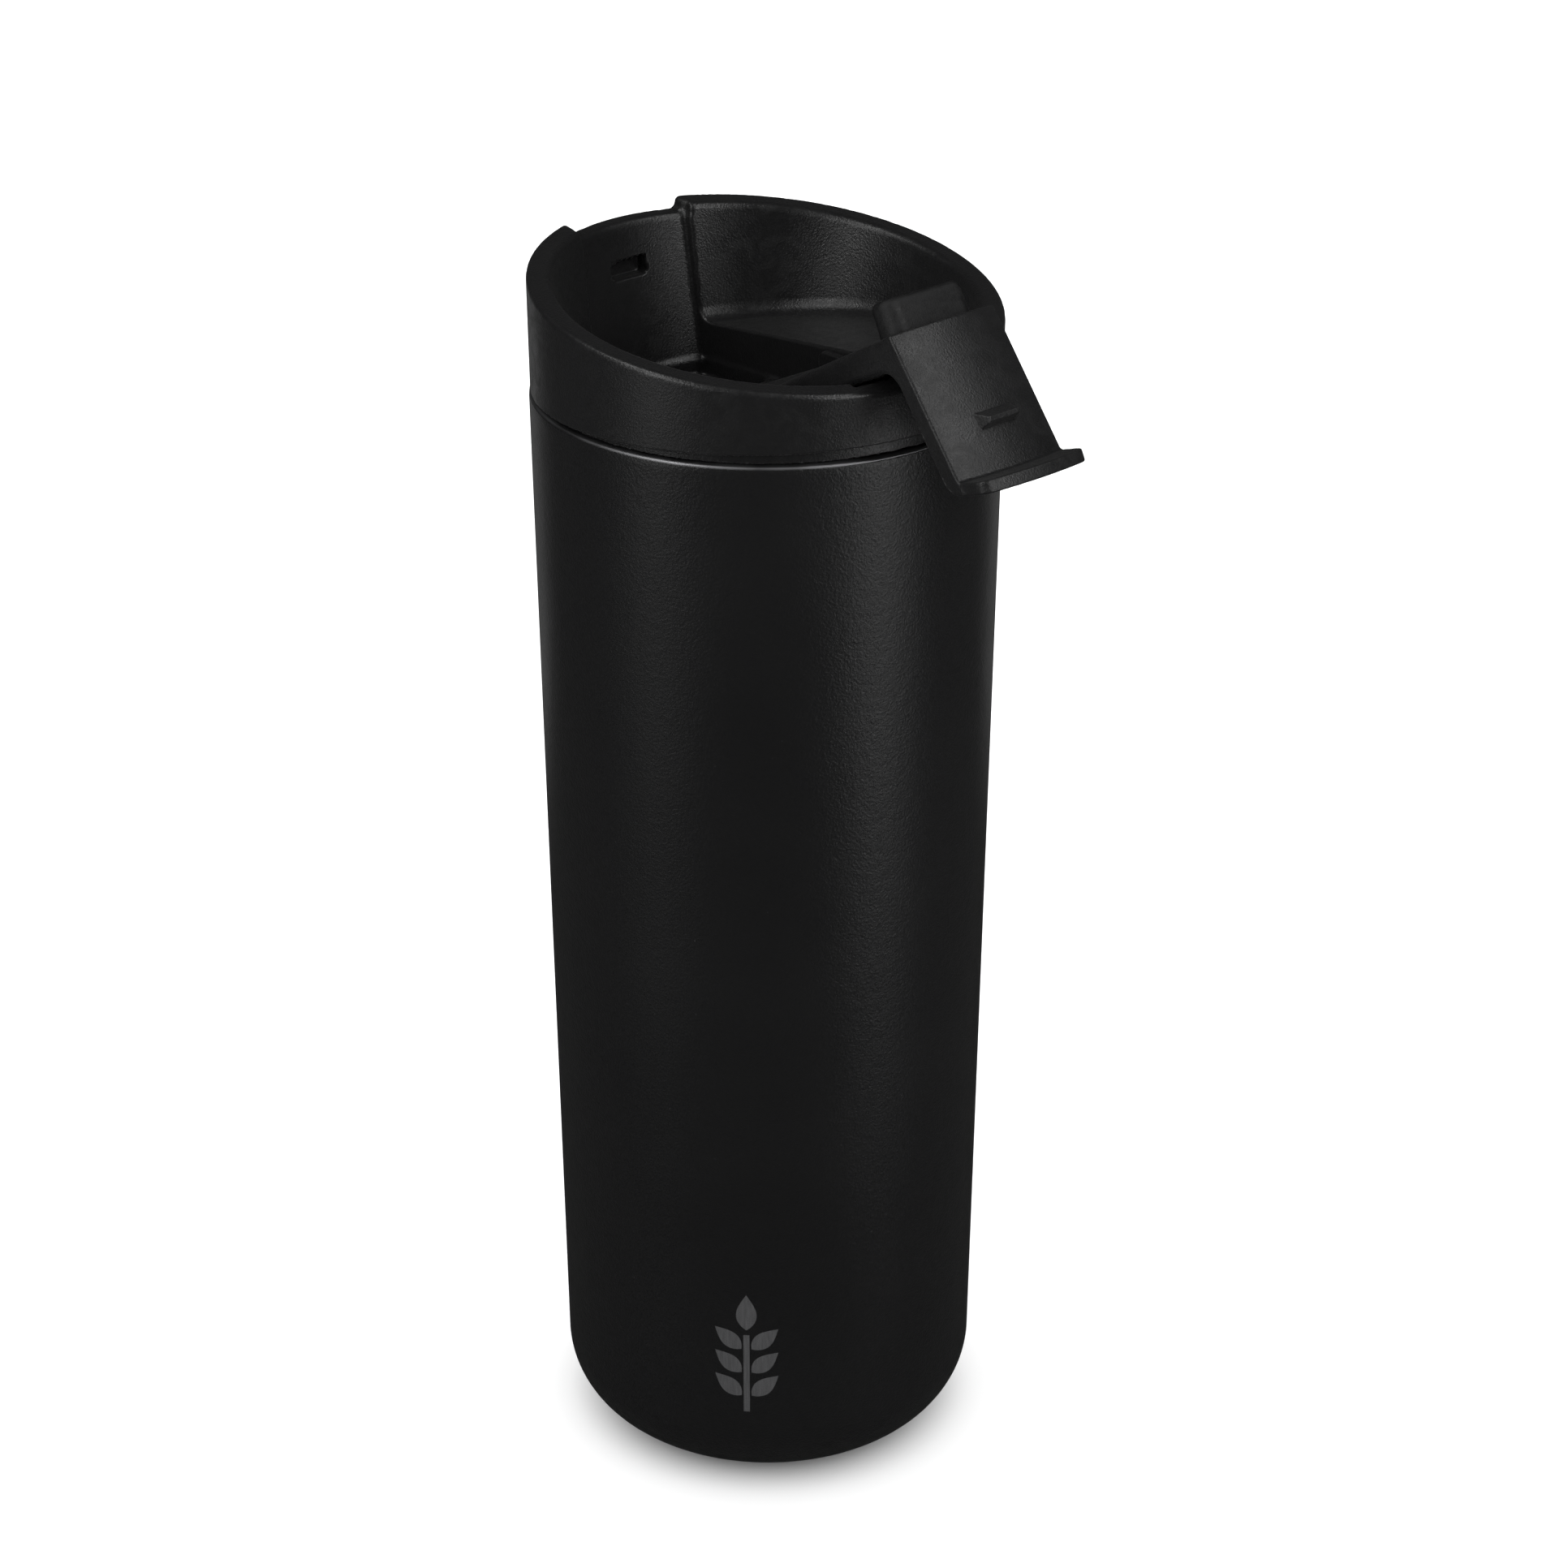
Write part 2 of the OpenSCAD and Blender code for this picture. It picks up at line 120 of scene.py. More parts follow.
WELL_TOP = RIM_Z - 3
PAN_Z, PAN_SIDE_T = WELL_Z - 1.2, 1.2

# flip cap
ARM_SLOPE = math.radians(3)
ARM_T, ARM_LOW, KNUCKLE_R, NECK_REACH = 4.7, 2.9, 4.2, 9.6
PIN_BORE = 1.05
ARM_HALF, KNUCKLE_HALF = CHANNEL_HALF - 0.4, CHANNEL_HALF - 1.1
RAMP_ANGLE = SWING - ARM_SLOPE
FACE_R, FACE_LEAN, STRAP_T = RIM_R - 7.2, 0.196, 2.8
LIP_GAP, LIP_T, LIP_REACH = 0.25, 2, RIM_R + 2.2
LATCH_Z, LATCH_H, LATCH_TIP_H, LATCH_OUT = RIM_Z + 10.6, 2.4, 0.8, 1.9
LATCH_HALF, LATCH_TIP_HALF = 3.5, 3
PLUG_OUT, PLUG_IN, PLUG_HALF, PLUG_H, PLUG_R = -27.2, -21.2, 8.4, 5.4, 2.8
PLUG_STEP, PLUG_STEP_H = 1.6, 1.1


# ---------------------------------------------------------------- distance fields
def round_max(a, b, r):
    """Intersection of two fields, with its edge rounded to radius r."""
    return np.minimum(-r, np.maximum(a, b)) + np.hypot(np.maximum(a + r, 0), np.maximum(b + r, 0))


def round_min(a, b, r):
    """Union of two fields, with its inner corner filled to radius r."""
    return -round_max(-a, -b, r)


def all_of(*fields):
    out = fields[0]
    for f in fields[1:]:
        out = np.maximum(out, f)
    return out


def step_up(v, low, high):
    """0 below low, 1 above high, smooth between."""
    t = np.clip((v - low) / (high - low), 0, 1)
    return t * t * (3 - 2 * t)


def under(x, z, height, slope):
    """Negative below the plane that passes through height on the axis and rises by slope along +X."""
    return (z - height - slope * x) / math.hypot(1, slope)


def in_cone(rho, z, r, z0, lean):
    """Negative inside the cone of radius r at height z0, growing by lean per millimetre of height."""
    return (rho - r - lean * (z - z0)) / math.hypot(1, lean)


def in_rect(a, b, low, high, r):
    """Rectangle in the plane of a and b, from corner low to corner high, with corner radius r."""
    da = np.abs(a - (low[0] + high[0]) / 2) - (high[0] - low[0]) / 2
    db = np.abs(b - (low[1] + high[1]) / 2) - (high[1] - low[1]) / 2
    return round_max(da, db, r)


def from_hinge(x, z, angle):
    """Coordinates along and across a frame at the hinge that is turned about Y by angle."""
    dx, dz = x - HINGE_X, z - HINGE_Z
    c, s = math.cos(angle), math.sin(angle)
    return dx * c - dz * s, dx * s + dz * c


def thread_height(x, y, z):
    """How far the lid's two-start thread stands out of the skirt."""
    out = 0
    for start in (0, 180):
        turned = (np.degrees(np.arctan2(y, x)) - start) % 360
        away = np.abs(z - THREAD_Z - THREAD_LEAD * turned / 360)
        ends = step_up(turned, 0, 25) * (1 - step_up(turned, THREAD_SWEEP - 25, THREAD_SWEEP))
        out = np.maximum(out, THREAD_H * ends * (1 - step_up(away, 0.35, 0.85)))
    return out


def lid_outside(x, y, z, rho):
    wall = in_cone(rho, z, LID_R_LOW, RIM_Z, (LID_R_HIGH - LID_R_LOW) / 20)
    top = RIM_Z + LID_H
    notch = round_max(np.abs(y) - NOTCH_HALF, -under(x, z, top - NOTCH_DROP, -RIM_FALL), NOTCH_ROUND)
    notch = all_of(notch, x - HIGH_SIDE)
    top = round_max(under(x, z, top, -RIM_FALL), -notch, NOTCH_ROUND)
    low = np.maximum(-under(x, z, EDGE_Z, EDGE_RISE), SEAT_Z - z)
    shell = round_max(round_max(wall, top, RIM_ROUND), low, 0.25)
    band = all_of(rho - BAND_R, SEAT_Z - z, z - SHELF_Z)
    skirt = round_max(rho - SKIRT_R - thread_height(x, y, z), SKIRT_Z - z, 0.4)
    skirt = all_of(skirt, z - SHELF_Z)
    return np.minimum(np.minimum(shell, band), skirt)


def bowl_void(x, y, z):
    n = math.hypot(1, RIM_FALL)
    h = z - RIM_Z - LID_H
    along = (RIM_FALL * x + h) / n
    radial = np.sqrt(np.maximum(x * x + y * y + h * h - along * along, 0))
    cone = (radial - BOWL_R - BOWL_LEAN * along) / math.hypot(1, BOWL_LEAN)
    return round_max(cone, -under(x, z, SHELF_Z, SHELF_RISE), SHELF_FILLET)


def channel_void(x, y, z, rho):
    side = np.abs(y) - CHANNEL_HALF
    low_cone = in_cone(rho, z, FOOT_WALL_R, FOOT_WALL_Z, WALL_LEAN)
    high_cone = in_cone(rho, z, BEND_R, BEND_Z, TOP_LEAN)
    end = round_max(low_cone, high_cone, 3)
    floor_rise = math.tan(ARM_SLOPE)
    floor = -under(x, z, FLOOR_Z - floor_rise * FLOOR_X, floor_rise)
    along, across = from_hinge(x, z, RAMP_ANGLE)
    high_side = round_max(round_max(end, side, 0.7), floor, 0.9)
    high_side = np.maximum(high_side, x - HINGE_X)
    ramp = across - (ARM_T - ARM_LOW) - FLOOR_GAP
    low_side = all_of(side, ramp, HINGE_Z - KNUCKLE_R - z, HINGE_X - 0.01 - x)
    knuckle = np.maximum(np.hypot(x - HINGE_X, z - HINGE_Z) - KNUCKLE_R - FLOOR_GAP, side)
    boss = in_rect(x - HINGE_X, z - HINGE_Z, (-8, -3.4), (5.4, 3.7), 1.4)
    boss = round_max(boss, CHANNEL_HALF - 0.8 - np.abs(y), 0.25)
    return np.maximum(np.minimum(np.minimum(high_side, low_side), knuckle), -boss)


def slot_void(x, y, z):
    """The latch slot, with the ragged upper edge its mould leaves."""
    ragged = 0.14 * np.sin(5.3 * y + 0.6) + 0.10 * np.sin(11.7 * y + 2.1)
    ragged = ragged - 0.2 * step_up(-y, -1.4, -0.9) - 0.2 * step_up(-y, 1.3, 2.4)
    section = in_rect(y, z, (-SLOT_HALF, SLOT_LOW), (SLOT_HALF, SLOT_HIGH + 0.3), 0.7)
    return all_of(section, z - SLOT_HIGH - ragged, -x - SLOT_DEEP, x - HIGH_SIDE)


def hollow_void(x, y, z, rho):
    along, across = from_hinge(x, z, RAMP_ANGLE)
    ramp_air = np.maximum(HINGE_X + KNUCKLE_R + SIDE_T - x, FLOOR_GAP + SIDE_T + ARM_T - ARM_LOW - across)
    kept = all_of(np.abs(y) - CHANNEL_HALF - SIDE_T, HOLLOW_Z - z, -ramp_air)
    pan = all_of(np.abs(y) - WELL_HALF - PAN_SIDE_T, x - WELL_IN - PAN_SIDE_T, PAN_Z - z, z - HOLLOW_Z - 1)
    kept = np.minimum(kept, pan)
    return all_of(rho - SKIRT_IN_R, under(x, z, SHELF_Z - SHELF_T, SHELF_RISE), -kept)


def well_void(x, y, z, rho):
    """The sunken floor around the drinking hole."""
    well = in_rect(x, y, (-RIM_R, -WELL_HALF), (WELL_IN, WELL_HALF), 2)
    well = round_max(well, rho - WELL_R, 1.2)
    return np.maximum(round_max(well, WELL_Z - z, 0.6), z - WELL_TOP)


def lid_field(x, y, z):
    rho = np.hypot(x, y)
    air = round_min(bowl_void(x, y, z), channel_void(x, y, z, rho), 0.45)
    air = round_min(air, well_void(x, y, z, rho), 0.35)
    hole = in_rect(x, y, (HOLE_OUT, -HOLE_HALF), (HOLE_IN, HOLE_HALF), HOLE_R)
    air = round_min(air, np.maximum(hole, z - WELL_TOP), 0.35)
    solid = round_max(lid_outside(x, y, z, rho), -air, RIM_INNER_ROUND)
    solid = round_max(solid, -slot_void(x, y, z), 0.2)
    return np.maximum(solid, -hollow_void(x, y, z, rho))


def cap_field(x, y, z):
    """The flip cap where it lies closed."""
    rho = np.hypot(x, y)
    along, across = from_hinge(x, z, -ARM_SLOPE)
    lip_low = RIM_Z + LID_H - NOTCH_DROP + LIP_GAP
    face = in_cone(rho, z, FACE_R, FOOT_WALL_Z, FACE_LEAN)
    back = in_cone(rho, z, FACE_R - STRAP_T, FOOT_WALL_Z, FACE_LEAN)
    plan = round_max(rho - LIP_REACH, np.abs(y) - ARM_HALF, 1.6)
    lip = round_max(plan, -under(x, z, lip_low, -RIM_FALL), 0.3)
    lip = np.maximum(lip, x - HIGH_SIDE)
    radial = round_min(face, lip, 0.5)
    outer = round_max(radial, under(x, z, lip_low + LIP_T, -RIM_FALL), 0.4)
    inner = round_max(back, ARM_T - ARM_LOW - across, 3.5)
    body = round_max(outer, -inner, 2.1)
    body = round_max(body, -ARM_LOW - across, 0.35)
    half = ARM_HALF - (ARM_HALF - KNUCKLE_HALF) * step_up(along, -NECK_REACH - 0.5, -NECK_REACH + 0.3)
    body = round_max(body, np.abs(y) - half, 0.3 + 0.9 * step_up(along, -36.5, -33))
    body = np.maximum(body, along)
    knuckle = round_max(np.hypot(along, across) - KNUCKLE_R, np.abs(y) - KNUCKLE_HALF, 0.5)
    body = round_min(body, knuckle, 1)
    body = np.minimum(body, latch_field(x, y, z))
    return np.maximum(body, PIN_BORE - np.hypot(along, across))


def latch_field(x, y, z):
    root = FACE_R + FACE_LEAN * (LATCH_Z - FOOT_WALL_Z)
    out = (-x - root) / LATCH_OUT
    tall = np.abs(z - LATCH_Z) - LATCH_H / 2 + (LATCH_H - LATCH_TIP_H) / 2 * out
    wide = np.abs(y) - LATCH_HALF + (LATCH_HALF - LATCH_TIP_HALF) * out
    wedge = round_max(round_max(0.85 * tall, 0.9 * wide, 0.12), LATCH_OUT * (out - 1), 0.12)
    return np.maximum(wedge, -out - 1)


def plug_field(x, y, z):
    """The silicone plug under the closed arm, drafted towards its tip."""
    along, across = from_hinge(x, z, -ARM_SLOPE)
    deep = -ARM_LOW - across
    draft = 0.05 * deep + 0.004 * y * y
    low, high = (PLUG_OUT - HINGE_X, -PLUG_HALF), (PLUG_IN - HINGE_X, PLUG_HALF)
    body = round_max(in_rect(along, y, low, high, PLUG_R) + draft, deep - PLUG_H, 1.0)
    step = np.maximum(PLUG_HALF - PLUG_STEP - y, PLUG_H - PLUG_STEP_H - deep)
    body = round_max(body, -step, 0.4)
    return np.maximum(body, 0.01 - deep)


# ---------------------------------------------------------------- meshes
# the four cells around a grid edge, in turn
AROUND_EDGE = ((0, 0), (1, 0), (1, 1), (0, 1))


def crossed_edges(values, axis):
    """Grid edges along an axis that cross the surface: first ends, crossings, and which start inside."""
    first = [slice(None)] * 3
    second = [slice(None)] * 3
    first[axis], second[axis] = slice(None, -1), slice(1, None)
    a, b = values[tuple(first)], values[tuple(second)]
    cut = np.argwhere((a < 0) != (b < 0))
    where = tuple(cut.T)
    place = cut.astype(float)
    place[:, axis] += a[where] / (a[where] - b[where])
    return cut, place, a[where] < 0


def cells_beside(cut, axis, corner, shape):
    """The cell at one corner of each grid edge, and whether it lies in the grid."""
    cell = cut.copy()
    cell[:, [i for i in range(3) if i != axis]] -= corner
    return cell, np.all((cell >= 0) & (cell < shape), axis=1)


def quads_around(edges, axis, index):
    """One quad around each crossed grid edge along an axis, facing outwards."""
    cut, _, starts_inside = edges
    quads = np.full((len(cut), 4), -1)
    for i, corner in enumerate(AROUND_EDGE):
        cell, ok = cells_beside(cut, axis, corner, index.shape)
        quads[ok, i] = index[tuple(cell[ok].T)]
    flip = starts_inside == (axis == 1)
    quads[flip] = quads[flip][:, ::-1]
    return quads[np.all(quads >= 0, axis=1)]


def surface_net(values, axes):
    """A point in every cell that the surface passes through, and the quads that join them."""
    shape = tuple(n - 1 for n in values.shape)
    edges = [crossed_edges(values, axis) for axis in range(3)]
    total = np.zeros(shape + (3,))
    count = np.zeros(shape)
    for axis, (cut, place, _) in enumerate(edges):
        for corner in AROUND_EDGE:
            cell, ok = cells_beside(cut, axis, corner, shape)
            flat = np.ravel_multi_index(tuple(cell[ok].T), shape)
            for k in range(3):
                total[..., k] += np.bincount(flat, place[ok, k], count.size).reshape(shape)
            count += np.bincount(flat, minlength=count.size).reshape(shape)
    used = count > 0
    mean = total[used] / count[used][:, None]
    points = [np.interp(mean[:, k], np.arange(len(axes[k])), axes[k]) for k in range(3)]
    index = np.full(shape, -1)
    index[used] = np.arange(used.sum())
    quads = [quads_around(edges[axis], axis, index) for axis in range(3)]
    return np.stack(points, 1), np.concatenate(quads)


def gradient(field, p, eps=0.02):
    out = np.empty_like(p)
    for k in range(3):
        d = np.zeros(3)
        d[k] = eps
        out[:, k] = (field(*(p + d).T) - field(*(p - d).T)) / (2 * eps)
    return out


def grid_axes(low, high, step, fine):
    """Grid positions along each axis; between the two heights in fine the layers lie at half the step."""
    axes = [np.arange(low[k], high[k] + step, step) for k in range(3)]
    if fine is not None:
        z = axes[2]
        layers = np.arange(fine[0], fine[1], step / 2)
        below, above = z[z < fine[0] - step / 4], z[z > layers[-1] + step / 4]
        axes[2] = np.concatenate([below, layers, above])
    return axes


def pulled_to_surface(field, points, step, rounds=4):
    """The points after a few Newton steps towards the surface, and the surface's normals there."""
    for _ in range(rounds):
        g = gradient(field, points)
        size = np.maximum(np.sum(g * g, 1), 0.05)
        move = -(field(*points.T) / size)[:, None] * g
        points = points + np.clip(move, -step / 2, step / 2)
    normals = gradient(field, points, 0.05)
    normals /= np.maximum(np.linalg.norm(normals, axis=1), 1e-6)[:, None]
    return points, normals


def field_mesh(name, field, low, high, step, place=None, fine=None):
    """A smooth mesh of a distance field between two corners. place moves its points afterwards."""
    axes = grid_axes(low, high, step, fine)
    values = field(axes[0][:, None, None], axes[1][None, :, None], axes[2][None, None, :])
    points, quads = surface_net(values, axes)
    points, normals = pulled_to_surface(field, points, step)
    edge = edge_wear(field, points, normals)
    if place is not None:
        points, normals = place(points), place(normals, turn_only=True)
    obj = mesh_object(name, points, quads, normals)
    wear = obj.data.attributes.new("edge", "FLOAT", "POINT")
    wear.data.foreach_set("value", edge.astype(np.float32))
    return obj


def edge_wear(field, points, normals, reach=0.55):
    """How sharply the surface turns outwards at each point: 0 on flats, near 1 on edges."""
    return np.clip(1 + field(*(points - normals * reach).T) / reach, 0, 1)


def mesh_object(name, points, faces, normals=None):
    mesh = bpy.data.meshes.new(name)
    mesh.from_pydata((points * MM).tolist(), [], faces.tolist() if hasattr(faces, "tolist") else faces)
    mesh.polygons.foreach_set("use_smooth", [True] * len(mesh.polygons))
    mesh.update()
    if normals is not None:
        mesh.normals_split_custom_set_from_vertices(normals.tolist())
    obj = bpy.data.objects.new(name, mesh)
    bpy.context.scene.collection.objects.link(obj)
    return obj


def open_cap(p, turn_only=False):
    """Turns points of the closed cap to its open place."""
    pivot = np.array([HINGE_X, 0, HINGE_Z]) * (0 if turn_only else 1)
    c, s = math.cos(SWING), math.sin(SWING)
    turn = np.array([[c, 0, s], [0, 1, 0], [-s, 0, c]])
    return (p - pivot) @ turn.T + pivot


def arc(cx, cz, r, first, last, count):
    """Points of an arc about (cx, cz), angles in degrees."""
    angles = np.radians(np.linspace(first, last, count))
    return np.stack([cx + r * np.cos(angles), cz + r * np.sin(angles)], 1)


def vessel_r(z):
    return RIM_R - TAPER + TAPER / RIM_Z * z


def lathe(name, profile, around=360):
    """A closed ring turned from the closed outline profile."""
    count = len(profile)
    turn = np.linspace(0, 2 * math.pi, around, endpoint=False)
    r, z = profile[:, 0], profile[:, 1]
    points = np.stack([np.outer(np.cos(turn), r), np.outer(np.sin(turn), r), np.tile(z, (around, 1))], 2)
    i, k = np.meshgrid(np.arange(around), np.arange(count), indexing="ij")
    j, l = (i + 1) % around, (k + 1) % count
    quads = np.stack([i * count + k, j * count + k, j * count + l, i * count + l], 2)
    return mesh_object(name, points.reshape(-1, 3), quads.reshape(-1, 4))


def shell_profile():
    cx = vessel_r(CORNER_R) - CORNER_R
    side = np.array([[vessel_r(z), z] for z in np.linspace(CORNER_R, COAT_TOP - 1.2, 60)[1:]])
    return np.concatenate([
        arc(FOOT_R + 0.3, 0.3, 0.3, 180, 270, 5),
        [[cx * 0.7 + FOOT_R * 0.3, 0]],
        arc(cx, CORNER_R, CORNER_R, -90, 0, 40),
        side,
        [[RIM_R - 0.012, COAT_TOP - 0.8], [RIM_R - 0.035, COAT_TOP - 0.4], [RIM_R - 0.06, COAT_TOP - 0.12]],
        [[RIM_R - 0.075, COAT_TOP], [LIP_R + 0.015, COAT_TOP], [LIP_R + 0.01, SHELL_TOP - 0.3]],
        [[RIM_R - SHELL_T, SHELL_TOP - 0.3]],
        arc(cx, CORNER_R, CORNER_R - SHELL_T, 0, -90, 20),
        [[FOOT_R + SHELL_T, SHELL_T], [FOOT_R + SHELL_T, FOOT_UP], [FOOT_R, FOOT_UP]],
    ])


# ---------------------------------------------------------------- mark
def leaf(cx, cz, length, width, angle, count=14):
    """Outline of a pointed leaf whose stalk end is at (cx, cz)."""
    t = np.linspace(0, 1, count)
    swell = width / 2 * np.sin(math.pi * t ** 0.8)
    side = np.concatenate([np.stack([t * length, swell], 1), np.stack([t * length, -swell], 1)[::-1][1:-1]])
    c, s = math.cos(angle), math.sin(angle)
    return side @ np.array([[c, s], [-s, c]]) + [cx, cz]


def mark_outlines(height):
    """A sprig: a stalk with paired leaves and one at its tip, standing on (0, 0)."""
    stalk = 0.045 * height
    side, top = stalk / 2, 0.66 * height
    shapes = [np.array([[-side, 0], [side, 0], [side, top], [-side, top]])]
    for level in (0.14, 0.34, 0.54):
        for way in (1, -1):
            turn = math.radians(90 - way * 48)
            shapes.append(leaf(way * stalk * 0.8, level * height, 0.26 * height, 0.13 * height, turn))
    shapes.append(leaf(0, 0.70 * height, 0.30 * height, 0.15 * height, math.radians(90)))
    return shapes


def filled(outlines):
    """Points and faces that fill each outline with two rings of quads and a fan."""
    points, faces = [], []
    for outline in outlines:
        rings = [outline.mean(0) + (outline - outline.mean(0)) * s for s in (1, 0.66, 0.33)]
        start = len(points)
        for ring in rings:
            points.extend(ring)
        points.append(outline.mean(0))
        n = len(outline)
        for ring in range(2):
            for i in range(n):
                a, b = start + ring * n + i, start + ring * n + (i + 1) % n
                faces.append([a, b, b + n, a + n])
        for i in range(n):
            faces.append([start + 2 * n + i, start + 2 * n + (i + 1) % n, start + 3 * n])
    return np.array(points), faces


def wrapped_mark(name, azimuth, z_low, height, lift=0.03):
    """The mark laid on the straight part of the coated shell."""
    flat, faces = filled(mark_outlines(height))
    z = z_low + flat[:, 1]
    r = vessel_r(z) + lift
    turn = azimuth + flat[:, 0] / r
    return mesh_object(name, np.stack([r * np.cos(turn), r * np.sin(turn), z], 1), faces)


# ---------------------------------------------------------------- materials
class Look:
    """Builds one material's node graph with short calls. Sizes are millimetres on the object."""

    def __init__(self, name, metallic=0.0, sheen=0.0):
        self.material = bpy.data.materials.new(name)
        self.material.use_nodes = True
        self.tree = self.material.node_tree
        self.shader = self.tree.nodes["Principled BSDF"]
        self.shader.inputs["Metallic"].default_value = metallic
        self.shader.inputs["IOR"].default_value = 1.5
        self.shader.inputs["Sheen Weight"].default_value = sheen
        self.shader.inputs["Sheen Roughness"].default_value = 0.5
        self.place = self.tree.nodes.new("ShaderNodeTexCoord").outputs["Object"]

    def add(self, kind, inputs=(), **settings):
        node = self.tree.nodes.new(kind)
        for key, value in settings.items():
            setattr(node, key, value)
        for key, value in dict(inputs).items():
            self.put(node.inputs[key], value)
        return node

    def put(self, socket, value):
        if isinstance(value, bpy.types.NodeSocket):
            self.tree.links.new(value, socket)
        else:
            socket.default_value = value

    def stretched(self, stretch):
        return self.add("ShaderNodeMapping", {"Vector": self.place, "Scale": stretch}).outputs[0]

    def noise(self, size, detail=2.0, rough=0.5, stretch=None, distort=0.0):
        vector = self.place if stretch is None else self.stretched(stretch)
        return self.add("ShaderNodeTexNoise", {"Vector": vector, "Scale": 1 / (size * MM), "Detail": detail,
                                               "Roughness": rough, "Distortion": distort}).outputs["Fac"]

    def cells(self, size, stretch=None):
        vector = self.place if stretch is None else self.stretched(stretch)
        node = self.add("ShaderNodeTexVoronoi", {"Vector": vector, "Scale": 1 / (size * MM)})
        return node.outputs["Distance"]

    def ramp(self, value, low, high, to_low=0.0, to_high=1.0):
        node = self.add("ShaderNodeMapRange", {"Value": value, "From Min": low, "From Max": high,
                                               "To Min": to_low, "To Max": to_high})
        node.interpolation_type = "SMOOTHSTEP"
        return node.outputs[0]

    def math(self, kind, a, b=0.0):
        return self.add("ShaderNodeMath", {0: a, 1: b}, operation=kind).outputs[0]

    def times(self, a, b):
        return self.math("MULTIPLY", a, b)

    def plus(self, a, b):
        return self.math("ADD", a, b)

    def attribute(self, name):
        return self.add("ShaderNodeAttribute", attribute_name=name).outputs["Fac"]

    def tint(self, share, a, b):
        node = self.add("ShaderNodeMix", data_type="RGBA")
        self.put(node.inputs["Factor"], share)
        self.put(node.inputs[6], (*a, 1) if isinstance(a, tuple) else a)
        self.put(node.inputs[7], (*b, 1) if isinstance(b, tuple) else b)
        return node.outputs[2]

    def bump(self, height, depth, under=None):
        """Raises the surface by depth millimetres times height."""
        inputs = {"Height": height, "Distance": depth * MM, "Strength": 1.0}
        if under is not None:
            inputs["Normal"] = under
        return self.add("ShaderNodeBump", inputs).outputs[0]

    def finish(self, colour, roughness, normal=None, specular=None):
        self.put(self.shader.inputs["Base Color"], (*colour, 1) if isinstance(colour, tuple) else colour)
        self.put(self.shader.inputs["Roughness"], roughness)
        if normal is not None:
            self.put(self.shader.inputs["Normal"], normal)
        if specular is not None:
            self.put(self.shader.inputs["Specular IOR Level"], specular)
        return self.material


def powder_coat():
    look = Look("powder_coat", sheen=0.022)
    grain = look.noise(0.42, detail=3, rough=0.6)
    waves = look.noise(1.6, detail=1)
    cloud = look.noise(30, detail=3)
    speck = look.ramp(look.cells(4.5), 0.0, 0.035, 1, 0)
    normal = look.bump(grain, 0.085, look.bump(waves, 0.04))
    colour = look.tint(cloud, (0.0036, 0.0036, 0.0038), (0.0049, 0.0049, 0.0051))
    colour = look.tint(look.times(speck, 0.5), colour, (0.05, 0.05, 0.05))
    rough = look.plus(look.ramp(cloud, 0.3, 0.7, 0.27, 0.32), look.times(look.noise(1.1), 0.05))
    return look.finish(colour, rough, normal, 0.5)


def moulded_plastic(name, grain_depth, gloss, wear):
    """Black moulded plastic with a fine mould grain, rubbed paler along its edges."""
    look = Look(name, sheen=0.022)
    grain = look.noise(0.34, detail=2, rough=0.6)
    sink = look.noise(9, detail=1)
    cloud = look.noise(16, detail=4, rough=0.6)
    normal = look.bump(grain, grain_depth, look.bump(sink, 0.03))
    patchy = look.ramp(look.noise(0.9, detail=4, rough=0.75), 0.5, 0.66)
    edge = look.times(look.ramp(look.attribute("edge"), 0.4, 0.8), patchy)
    colour = look.tint(cloud, (0.0040, 0.0040, 0.0042), (0.0058, 0.0058, 0.0060))
    speck = look.ramp(look.cells(2.6), 0.0, 0.03, 1, 0)
    marked = look.math("MAXIMUM", look.times(edge, wear), look.times(speck, 0.6))
    colour = look.tint(marked, colour, (0.07, 0.07, 0.071))
    rub = look.ramp(look.noise(3.2, detail=6, rough=0.7, distort=0.8), 0.38, 0.64, gloss, gloss + 0.11)
    return look.finish(colour, look.plus(rub, look.times(edge, 0.08)), normal, 0.5)


def silicone():
    look = Look("silicone")
    streaks = look.noise(0.7, detail=6, rough=0.7, stretch=(1, 0.25, 0.6), distort=0.4)
    smudge = look.noise(4, detail=4, rough=0.6)
    fine = look.noise(0.25, detail=2)
    normal = look.bump(streaks, 0.05, look.bump(fine, 0.03, look.bump(smudge, 0.08)))
    colour = look.tint(streaks, (0.0036, 0.0036, 0.0038), (0.011, 0.011, 0.0112))
    return look.finish(colour, look.ramp(streaks, 0.35, 0.66, 0.46, 0.66), normal, 0.27)


def steel(name, colour, roughness, ring=None):
    """Turned stainless steel: fine rings about the axis and faint handling marks."""
    look = Look(name, metallic=1.0)
    rings = look.noise(0.25, detail=2, stretch=ring or (0.02, 0.02, 1))
    marks = look.noise(7, detail=4, rough=0.6)
    shade = tuple(c * 0.78 for c in colour)
    normal = look.bump(rings, 0.006)
    worn = look.ramp(marks, 0.3, 0.7, roughness, roughness + 0.12)
    return look.finish(look.tint(marks, shade, colour), worn, normal)


def etched_mark():
    look = Look("etched_mark", metallic=0.6)
    grain = look.noise(0.16, detail=2)
    lines = look.noise(0.3, detail=1, stretch=(1, 1, 0.1))
    colour = look.tint(lines, (0.062, 0.062, 0.064), (0.110, 0.110, 0.113))
    return look.finish(colour, look.ramp(grain, 0.3, 0.7, 0.5, 0.7), look.bump(grain, 0.02))


